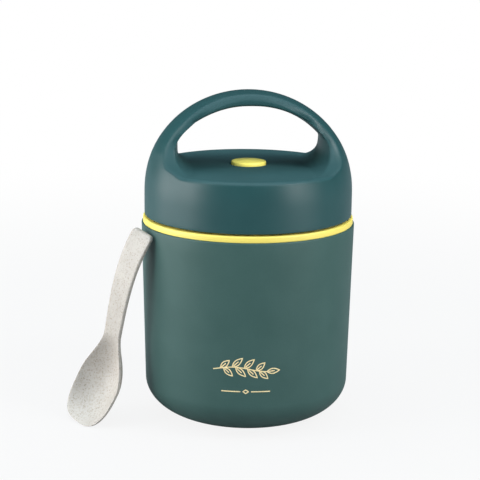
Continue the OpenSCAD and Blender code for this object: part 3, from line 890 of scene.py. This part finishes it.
# Vent valve
# A soft silicone disc on the lower end of the stem. Pulled up against the inner cover, it closes the
# vent; its outer edge is a thin lip.
valve_z, valve_top, valve_r, valve_foot_r, valve_lip = 104.067, 105.667, 7.0, 4.6, 0.7
valve_dish_r, valve_dish_z = (5.4, 4.9), 105.367
valve = turned("vent_valve_disc", softened([
    (stem_hole_r, valve_z, 0.2), (valve_foot_r, valve_z, 0.5), (valve_r, valve_top - valve_lip, 0.3),
    (valve_r, valve_top, 0.25), (valve_dish_r[0], valve_top, 0.2), (valve_dish_r[1], valve_dish_z, 0.2),
    (stem_hole_r, valve_dish_z, 0.2)], steps=3), steps=80)
dress(valve, silicone, "vent", "silicone", "vent_valve")

# Vent stem
# A slim white rod that joins the button to the valve. Its head holds the valve from below, and its upper
# end is pressed into the button.
stem_r, stem_head_r, stem_low, stem_top = 1.6, 3.0, 102.467, 126.167
stem = turned("vent_stem_rod", softened([
    (0, stem_low, 0), (stem_head_r, stem_low, 0.6), (stem_head_r, valve_z, 0.2), (stem_r, valve_z, 0),
    (stem_r, stem_top, 0.4), (0, stem_top, 0)]), steps=48, hollow=False)
dress(stem, white, "vent", "white_plastic", "vent_stem")

# Vent button
# The yellow push button in the lid's well, hollow underneath for the spring, with a socket for the stem.
# Pressed, it opens the vent.
button_r, button_wall, button_round, button_crown = 8.6, 1.5, 0.7, 0.6
button_z, button_rim, button_under, socket_r = 123.467, 127.867, 126.367, 3.0
button_top = [Vector((r, button_rim + button_crown * (1 - (r / (button_r - button_round)) ** 2)))
              for r in (0, 2, 4, 6, 7.2)]
button = turned("vent_push_button", button_top + softened([
    (*button_top[-1], 0), (button_r, button_rim, 0.75), (button_r, button_z, 0.2),
    (button_r - button_wall, button_z, 0.2), (button_r - button_wall, button_under, 0.4),
    (socket_r, button_under, 0.3), (socket_r, button_z, 0.2), (stem_hole_r, button_z, 0.1),
    (stem_hole_r, button_under, 0.1), (0, button_under, 0)])[1:], steps=96, hollow=False)
# Painted light: the button is the same yellow plastic as the collar, but it is painted in a lighter copy of that
# yellow to make up for the shade that the handle casts on it.
lighter_button_yellow, at = finish("button_yellow_painted_lighter")
grain = at.noise(0.45, 3)
lay(lighter_button_yellow, {
    "Base Color": grain.between(0.35, 0.65).blend((0.97, 0.815, 0.155, 1), (0.99, 0.840, 0.168, 1)),
    "Roughness": 0.36 + 0.10 * grain,
    "Normal": grain.bump(0.03, 0.3),
    "Specular IOR Level": 0.42,
})
dress(button, lighter_button_yellow, "vent", "yellow_plastic", "vent_button")

# Spoon
# The loose spoon that comes with the box, moulded in plastic filled with ground straw: off-white, matte
# and finely speckled. It stands on its bowl's tip and leans on the body.
spoon_l, bowl_l, bowl_mid, bowl_w, bowl_depth, bowl_hook = 101.0, 47.5, 20.5, 29.5, 8.6, 10.0
spoon_neck_w, spoon_end_w, spoon_end_round, spoon_t, spoon_arch, spoon_nose = 11.5, 14.5, 2.5, 2.0, 4.5, 1.0
bowl_blunt, dish_skew, dish_start = 3, 0.8, 7.0
spoon_turn, spoon_back, spoon_side, spoon_place = (math.radians(a) for a in (-51, 8.5, 13, 206))
spoon_edge, spoon_end_thin, spoon_gap = 0.62, 0.55, 0.3


def spoon_half(s):
    """Half of the spoon's width, s millimetres from the tip of its bowl."""
    if s < bowl_mid:
        half = bowl_w / 2 * (1 - (1 - s / bowl_mid) ** bowl_blunt) ** (1 / bowl_blunt)
    elif s < bowl_l:
        t = (s - bowl_mid) / (bowl_l - bowl_mid)
        half = mix(bowl_w, spoon_neck_w, t * t * (3 - 2 * t)) / 2
    else:
        past = max(0, s - spoon_l + spoon_end_round)
        half = mix(spoon_neck_w, spoon_end_w, (s - bowl_l) / (spoon_l - bowl_l)) / 2
        half -= spoon_end_round - math.sqrt(max(0, spoon_end_round ** 2 - past ** 2))
    return max(half, spoon_nose)


def spoon_face(k, s):
    """How deep the hollow face lies at k of the way to the edge. t * t * (1 - t) is at most 4 / 27."""
    dish = bowl_depth * math.sin(math.pi * (s / bowl_l) ** dish_skew) if s < bowl_l else 0
    start = min(1, max(0, bowl_l - s) / dish_start)
    dish *= start * (2 - start)
    t = max(0, (s - bowl_mid) / (spoon_l - bowl_mid))
    rise = spoon_arch * t * t * (1 - t) * 27 / 4 + bowl_hook * max(0, 1 - s / bowl_l) ** 2
    return dish * (1 - k * k) - rise


def lean(p):
    """Turns a point of the upright spoon to the way it leans."""
    x = p.x * math.cos(spoon_side) + p.z * math.sin(spoon_side)
    z = p.z * math.cos(spoon_side) - p.x * math.sin(spoon_side)
    y = p.y * math.cos(spoon_back) + z * math.sin(spoon_back)
    return Vector((x * math.cos(spoon_turn) - y * math.sin(spoon_turn),
                   x * math.sin(spoon_turn) + y * math.cos(spoon_turn),
                   z * math.cos(spoon_back) - p.y * math.sin(spoon_back)))


spoon_rows, face_columns = 110, 14
edge_arc = [(spoon_edge * (1 - math.sin(math.radians(a))), spoon_edge * (1 - math.cos(math.radians(a))))
            for a in (22.5, 45, 67.5, 90)]
edge_turns = edge_arc + [(e, spoon_t - d) for e, d in reversed(edge_arc)]
face_ks = [mix(-1, 1, k / face_columns) for k in range(face_columns + 1)]
section = ([(k, None, 0) for k in face_ks] + [(1, e, d) for e, d in edge_turns]
           + [(k, None, spoon_t) for k in reversed(face_ks)] + [(-1, e, d) for e, d in reversed(edge_turns)])


def spoon_skin(i, j):
    """A point of the spoon's skin: row i from the bowl's tip up, column j round its section."""
    s = spoon_l * (1 - math.cos(math.pi * i / spoon_rows)) / 2
    half = spoon_half(s)
    k, inset, d = section[j % len(section)]
    x = k * (half - spoon_edge) if inset is None else k * (half - inset)
    near_end = max(0, spoon_edge - min(s, spoon_l - s)) / spoon_edge
    d = spoon_t / 2 + (d - spoon_t / 2) * (1 - spoon_end_thin * near_end ** 2)
    return lean(Vector((x, spoon_face(x / half, s) + d, s)))


end_rest = spoon_end_round * (1 - math.sin(math.radians(45)))
touch = lean(Vector((spoon_end_w / 2 - end_rest, spoon_t, spoon_l - end_rest)))
spoon = joined("straw_spoon", [patch(len(section), spoon_rows, spoon_skin)])
lean_r = body_r + spoon_gap
lowest = min(v.co.z for v in spoon.data.vertices)
spoon.data.transform(Matrix.Translation(((lean_r * math.cos(spoon_place) - touch.x) * mm,
                                         (lean_r * math.sin(spoon_place) - touch.y) * mm, -lowest)))
smooth(spoon, 50)

straw, at = finish("speckled_straw")
flecks = at.node("TexVoronoi", {"Vector": at, "Scale": 1 / (1.2 * mm)}, out="Distance")
chosen = at.noise(1.7, 0).between(0.40, 0.50)
fleck = (1 - flecks.between(0.16, 0.34)) * chosen
dust = at.noise(0.9, 2).between(0.48, 0.64)
cloud = at.noise(9, 3)
pale = cloud.between(0.3, 0.7).blend((0.352, 0.322, 0.290, 1), (0.388, 0.356, 0.322, 1))
dusted = (dust * 0.5).blend(pale, (0.27, 0.235, 0.185, 1))
lay(straw, {
    "Base Color": (fleck * 0.8).blend(dusted, (0.21, 0.175, 0.135, 1)),
    "Roughness": 0.50 + 0.12 * cloud,
    "Normal": (dust + fleck).bump(0.02, 0.3),
    "Specular IOR Level": 0.4,
})
dress(spoon, straw, "spoon", "speckled_cream", "spoon")

# Studio
# A plain white floor under a broad soft light from above. Three box lights stand on each side: a key in
# front, one beside the jar and one high up. The camera stands where the picture was taken.
floor_glow, mirror_glow, room_light = 0.88, 0.15, 0.04
bpy.ops.object.select_all(action="DESELECT")
bpy.ops.mesh.primitive_plane_add(size=40)
floor = new_piece("floor")
floor_white, at = finish("floor_white")
paper = at.noise(1.5, 2)
lay(floor_white, {
    "Base Color": paper.between(0.3, 0.7).blend((0.30, 0.30, 0.30, 1), (0.33, 0.33, 0.33, 1)),
    "Roughness": 0.95,
    "Specular IOR Level": 0.0,
})
tree = floor_white.node_tree
rays = tree.nodes.new("ShaderNodeLightPath")
seen, mirrored, through = (Tone(tree, rays.outputs[f"Is {kind} Ray"])
                           for kind in ("Camera", "Glossy", "Transmission"))
away = at.node("VectorMath", {0: at}, out="Value", operation="LENGTH").between(0.15, 0.75)
reflected = mirrored.maths("MAXIMUM", mirrored * mirror_glow, through) * away
whiten = seen.maths("MAXIMUM", seen * (floor_glow + (1 - floor_glow) * away), reflected)
glow = seen.node("Emission", {"Color": (1, 1, 1, 1), "Strength": 1.0})
lit = Tone(tree, tree.nodes["Principled BSDF"].outputs[0])
shown = seen.node("MixShader", {0: whiten, 1: lit, 2: glow})
tree.links.new(shown.socket, tree.nodes["Material Output"].inputs["Surface"])
floor.data.materials.append(floor_white)

world = bpy.data.worlds.new("studio")
bpy.context.scene.world = world
world.use_nodes = True
room = world.node_tree.nodes["Background"]
room.inputs["Color"].default_value = (1, 1, 1, 1)
sight = Tone(world.node_tree, world.node_tree.nodes.new("ShaderNodeLightPath").outputs["Is Camera Ray"])
world.node_tree.links.new((sight * (1 - room_light) + room_light).socket, room.inputs["Strength"])

view_turn, view_pitch, view_roll = math.radians(-5.685), math.radians(12.878), math.radians(0.64)
target = Vector((0, 0, 0.085))


def softbox(name, turn, height, distance, wide, tall, power):
    """A soft light, turned by that many degrees to the right of the camera and aimed at the jar."""
    a, e = front_turn + math.radians(turn), math.radians(height)
    place = target + Vector((math.cos(a) * math.cos(e), math.sin(a) * math.cos(e), math.sin(e))) * distance
    lamp = bpy.data.lights.new(name, "AREA")
    lamp.shape, lamp.size, lamp.size_y, lamp.energy = "RECTANGLE", wide, tall, power
    box = bpy.data.objects.new(name, lamp)
    bpy.context.scene.collection.objects.link(box)
    box.matrix_world = Matrix.LocRotScale(place, (target - place).to_track_quat("-Z", "Y"), None)


softbox("left_key", -62, 10, 0.6, 0.2, 0.35, 2.2)
softbox("left_side", -90, 4, 0.6, 0.4, 0.4, 3.2)
softbox("left_high", -64, 44, 1.2, 0.3, 0.3, 2.6)
softbox("right_key", 50, 13, 0.6, 0.14, 0.3, 1.6)
softbox("right_side", 66, 4, 0.6, 0.15, 0.4, 0.8)
softbox("right_high", 62, 44, 1.2, 0.3, 0.3, 6.5)
sky = bpy.data.lights.new("overhead", "SUN")
sky.energy, sky.angle, sky.color = 3.3, math.radians(90), (0.8, 1.0, 1.13)
overhead = bpy.data.objects.new("overhead", sky)
overhead.matrix_world = Matrix.Rotation(math.radians(6), 4, "X")
bpy.context.scene.collection.objects.link(overhead)

camera = bpy.data.cameras.new("camera")
camera.sensor_width, camera.lens = 36.0, 108.39
stand = Matrix.Translation((-0.0731, -0.6962, 0.2479))
eye = bpy.data.objects.new("camera", camera)
bpy.context.scene.collection.objects.link(eye)
eye.matrix_world = (stand @ Matrix.Rotation(view_turn, 4, "Z") @ Matrix.Rotation(math.pi / 2 - view_pitch, 4, "X")
                    @ Matrix.Rotation(view_roll, 4, "Z"))
bpy.context.scene.camera = eye
bpy.context.scene.view_settings.view_transform = "Standard"
